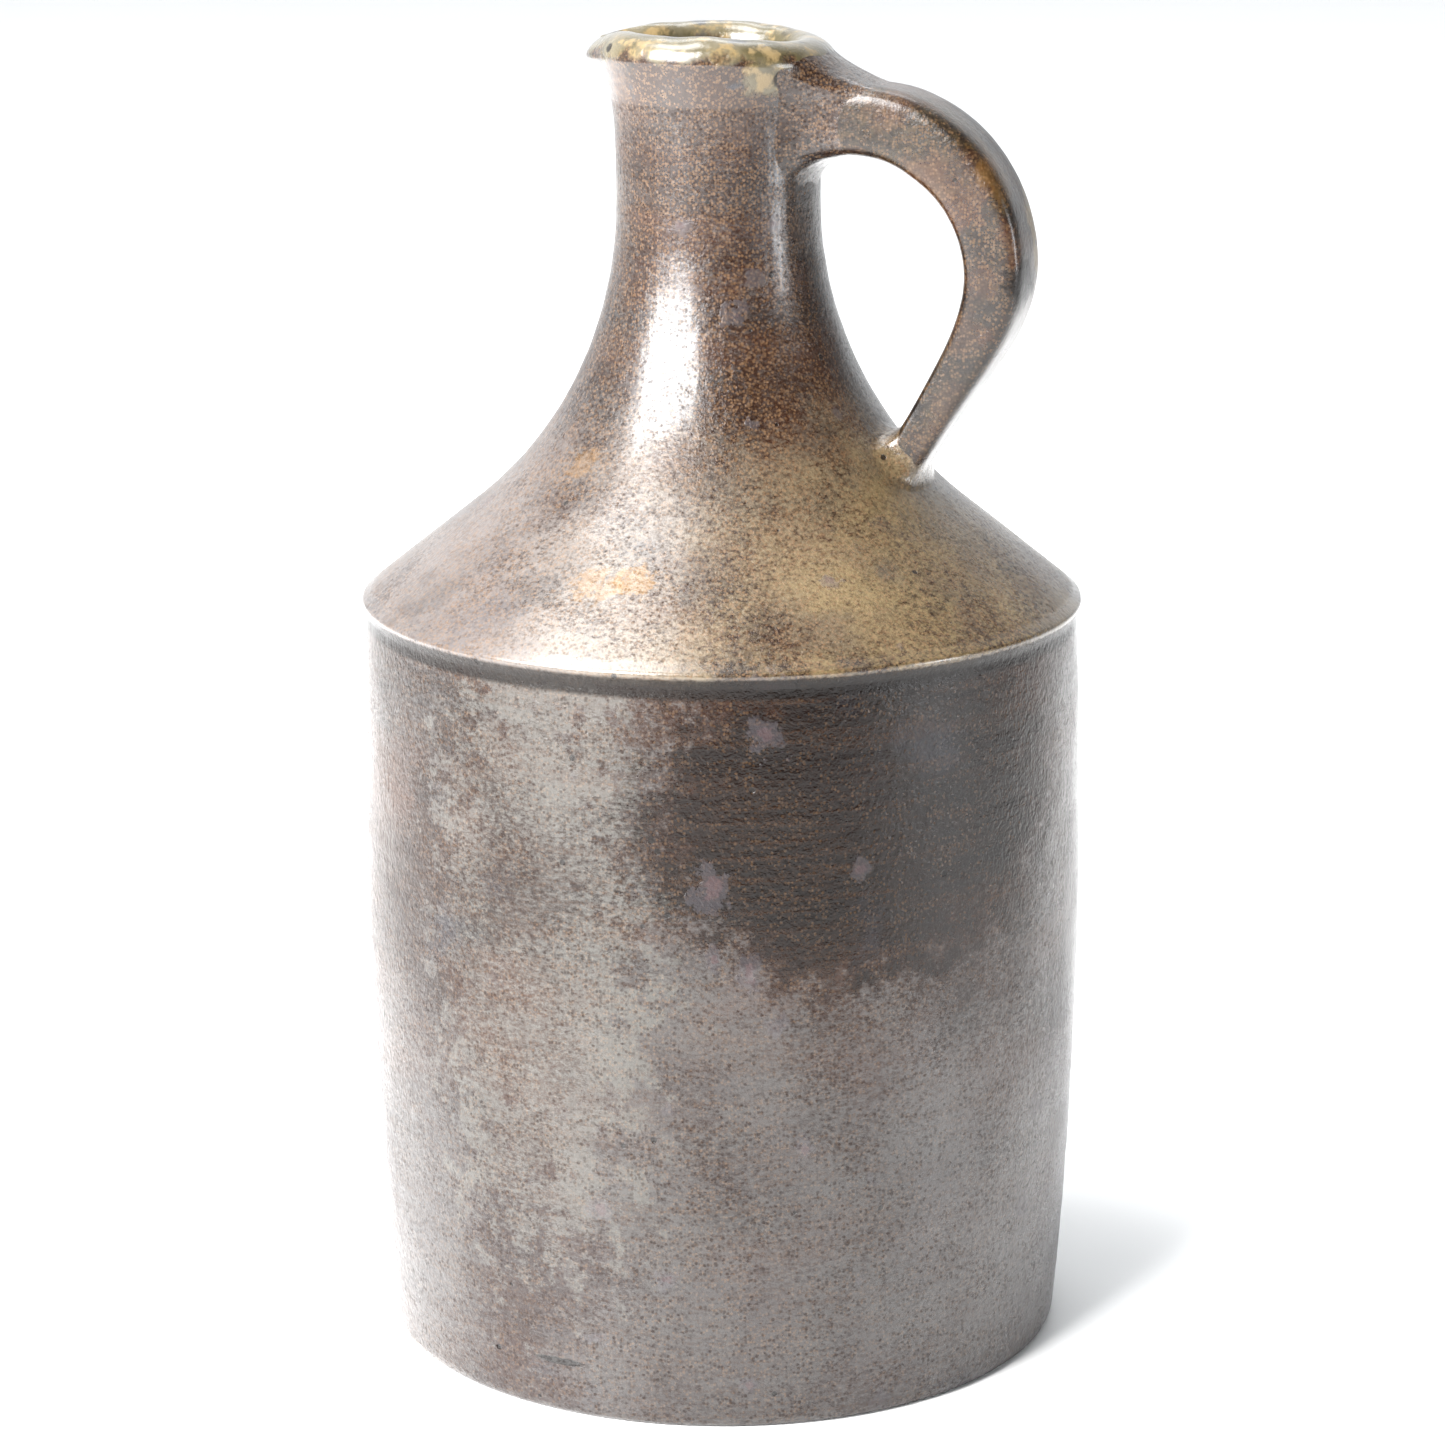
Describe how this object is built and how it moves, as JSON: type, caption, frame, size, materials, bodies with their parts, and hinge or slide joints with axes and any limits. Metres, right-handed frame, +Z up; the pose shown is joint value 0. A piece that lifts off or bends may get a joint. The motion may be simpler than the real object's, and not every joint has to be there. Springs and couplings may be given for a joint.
{
  "type": "sake bottle",
  "caption": "Handled stoneware sake bottle: bellied barrel, ledged conical shoulder sweeping into a narrow neck, rolled lip pulled to a beak, and a pulled strap handle.",
  "frame": {"origin": "middle of the foot, on the plane the bottle stands on", "axes": "+Z up along the barrel's axis, +X towards the handle, -X towards the pouring beak"},
  "size_m": [0.127, 0.127, 0.2296],
  "materials": {
    "foot_clay": "unglazed fired stoneware, iron brown, slightly dry",
    "barrel_glaze": "dark iron glaze with grey wood-ash haze, semi-gloss",
    "shoulder_glaze": "brown iron glaze with ochre and grey ash, semi-gloss",
    "neck_glaze": "brown iron glaze speckled with tan, glossy",
    "lip_glaze": "olive and cream ash glaze with dark spots, glossy",
    "strap_glaze": "brown iron glaze speckled with tan, olive at the edges, glossy",
    "worked_clay": "clay smeared by a finger under thin pale crackled glaze",
    "joint_slip": "fired bed of clay slip",
    "inner_clay": "bare fired stoneware"
  },
  "bodies": {
    "root": {"floor_disc": "foot_clay", "floor_slip": "joint_slip", "barrel": "barrel_glaze", "corner_coil": "inner_clay", "shoulder_slip": "joint_slip", "shoulder": "shoulder_glaze", "neck_slip": "joint_slip", "neck": "neck_glaze", "lip_slip": "joint_slip", "lip": "lip_glaze", "handle": "strap_glaze", "handle_root_clay": "worked_clay", "handle_tail_clay": "worked_clay"}
  },
  "joints": []
}
